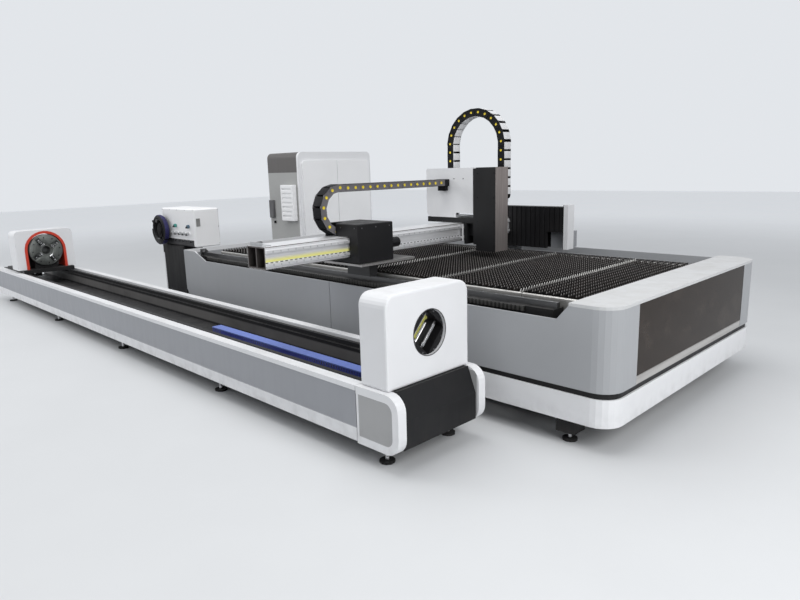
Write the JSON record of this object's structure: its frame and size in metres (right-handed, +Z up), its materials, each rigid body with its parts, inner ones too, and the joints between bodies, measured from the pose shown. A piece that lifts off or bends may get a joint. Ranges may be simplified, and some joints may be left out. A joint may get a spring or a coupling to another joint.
{
  "type": "fiber laser cutting machine",
  "caption": "Fiber laser cutting machine with a slatted sheet table, a travelling gantry and a side tube bed with chucks.",
  "frame": {"origin": "centre of the whole footprint's box, on the floor", "axes": "+X along both beds towards the front chuck and the plate bed's window end, +Y across from the tube bed to the cabinet, +Z up"},
  "size_m": [8.21, 4.2, 2.0599],
  "materials": {
    "black_paint": "satin",
    "white_paint": "semi-gloss",
    "grey_paint": "semi-gloss",
    "dark_grey_paint": "satin",
    "red_paint": "semi-gloss",
    "smoked_sheet": "glossy",
    "slat_steel": "scaled",
    "machined_steel": "satin",
    "aluminium": "satin",
    "chain_plastic": "matt",
    "duct_plastic": "matt",
    "cable_rubber": "matt"
  },
  "bodies": {
    "bed": {"plate_bed_frame": "black_paint", "front_panel_right": "grey_paint", "front_panel_left": "grey_paint", "rear_panel": "grey_paint", "end_window": "smoked_sheet", "end_shelf": "white_paint", "skirt": "white_paint", "slat_module_1": "slat_steel", "slat_module_2": "slat_steel", "slat_module_3": "slat_steel", "slat_module_4": "slat_steel", "slat_module_5": "slat_steel", "slat_module_6": "slat_steel", "near_rail": "machined_steel", "far_rail": "machined_steel", "near_rack": "machined_steel", "scrap_tray": "slat_steel", "tube_bed_frame": "black_paint", "near_cheek": "white_paint", "far_cheek": "white_paint", "near_end_cap": "white_paint", "far_end_cap": "white_paint", "chute": "black_paint", "cable_duct": "duct_plastic", "tube_chain": "chain_plastic", "front_chuck_housing": "white_paint", "cabinet_body": "grey_paint", "laser_source": "dark_grey_paint", "air_conditioner": "white_paint", "pedestal": "black_paint", "utility_box": "white_paint", "cable_coil": "cable_rubber"},
    "gantry": {"gantry_beam": "aluminium", "near_carriage": "machined_steel", "far_carriage": "grey_paint", "near_drive_cover": "black_paint", "drive_motor": "black_paint", "far_drive_cover": "black_paint", "y_chain": "chain_plastic"},
    "head": {"head_carriage": "black_paint", "head_cover": "white_paint", "z_tower": "black_paint", "z_chain": "chain_plastic"},
    "z_axis": {"z_slide": "aluminium", "cutting_head": "machined_steel"},
    "rear_chuck": {"rear_carriage": "black_paint", "rear_chuck_housing": "white_paint", "rear_rim": "red_paint", "rear_motor": "dark_grey_paint"},
    "rear_disc": {"rear_chuck_disc": "machined_steel"},
    "rear_jaw_a": {"rear_jaw_1": "machined_steel"},
    "rear_jaw_b": {"rear_jaw_2": "machined_steel"},
    "rear_jaw_c": {"rear_jaw_3": "machined_steel"},
    "rear_jaw_d": {"rear_jaw_4": "machined_steel"},
    "front_rotor": {"front_chuck_rotor": "black_paint"},
    "front_jaw_a": {"front_jaw_1": "machined_steel"},
    "front_jaw_b": {"front_jaw_2": "machined_steel"},
    "door_near": {"cabinet_door_near": "white_paint"},
    "door_far": {"cabinet_door_far": "white_paint"}
  },
  "joints": [
    {"name": "gantry_x", "type": "slide", "parent": "bed", "child": "gantry", "axis": [1, 0, 0], "range_m": [-2.24, 1.33]},
    {"name": "head_y", "type": "slide", "parent": "gantry", "child": "head", "axis": [0, 1, 0], "range_m": [-0.8, 0.36], "deforming": ["y_chain"]},
    {"name": "head_z", "type": "slide", "parent": "head", "child": "z_axis", "axis": [0, 0, 1], "range_m": [-0.02, 0.18], "deforming": ["z_chain"]},
    {"name": "rear_chuck_x", "type": "slide", "parent": "bed", "child": "rear_chuck", "axis": [1, 0, 0], "range_m": [-0.2, 5.6], "deforming": ["tube_chain"]},
    {"name": "rear_chuck_spin", "type": "hinge", "parent": "rear_chuck", "child": "rear_disc", "pos_m": [-3.135, -1.74, 0.7], "axis": [1, 0, 0], "continuous": true},
    {"name": "rear_jaw_a_slide", "type": "slide", "parent": "rear_disc", "child": "rear_jaw_a", "axis": [0, -0.5299, 0.848], "range_m": [-0.045, 0.02]},
    {"name": "rear_jaw_b_slide", "type": "slide", "parent": "rear_disc", "child": "rear_jaw_b", "axis": [0, 0.848, 0.5299], "range_m": [-0.045, 0.02]},
    {"name": "rear_jaw_c_slide", "type": "slide", "parent": "rear_disc", "child": "rear_jaw_c", "axis": [0, 0.5299, -0.848], "range_m": [-0.045, 0.02]},
    {"name": "rear_jaw_d_slide", "type": "slide", "parent": "rear_disc", "child": "rear_jaw_d", "axis": [0, -0.848, -0.5299], "range_m": [-0.045, 0.02]},
    {"name": "front_chuck_spin", "type": "hinge", "parent": "bed", "child": "front_rotor", "pos_m": [3.21, -1.74, 0.7], "axis": [1, 0, 0], "continuous": true},
    {"name": "front_jaw_a_slide", "type": "slide", "parent": "front_rotor", "child": "front_jaw_a", "axis": [0, 0.7314, -0.682], "range_m": [-0.028, 0.03]},
    {"name": "front_jaw_b_slide", "type": "slide", "parent": "front_rotor", "child": "front_jaw_b", "axis": [0, -0.7314, 0.682], "range_m": [-0.028, 0.03]},
    {"name": "near_door_swing", "type": "hinge", "parent": "bed", "child": "door_near", "pos_m": [-1.2797, 0.885, 0.9], "axis": [0, 0, -1], "range_deg": [0, 110]},
    {"name": "far_door_swing", "type": "hinge", "parent": "bed", "child": "door_far", "pos_m": [-1.2797, 2.055, 0.9], "axis": [0, 0, 1], "range_deg": [0, 110]}
  ],
  "couplings": [
    {"joint": "rear_jaw_b_slide", "follows": "rear_jaw_a_slide", "ratio": 1},
    {"joint": "rear_jaw_c_slide", "follows": "rear_jaw_a_slide", "ratio": 1},
    {"joint": "rear_jaw_d_slide", "follows": "rear_jaw_a_slide", "ratio": 1},
    {"joint": "front_jaw_b_slide", "follows": "front_jaw_a_slide", "ratio": 1},
    {"joint": "front_chuck_spin", "follows": "rear_chuck_spin", "ratio": 1}
  ]
}
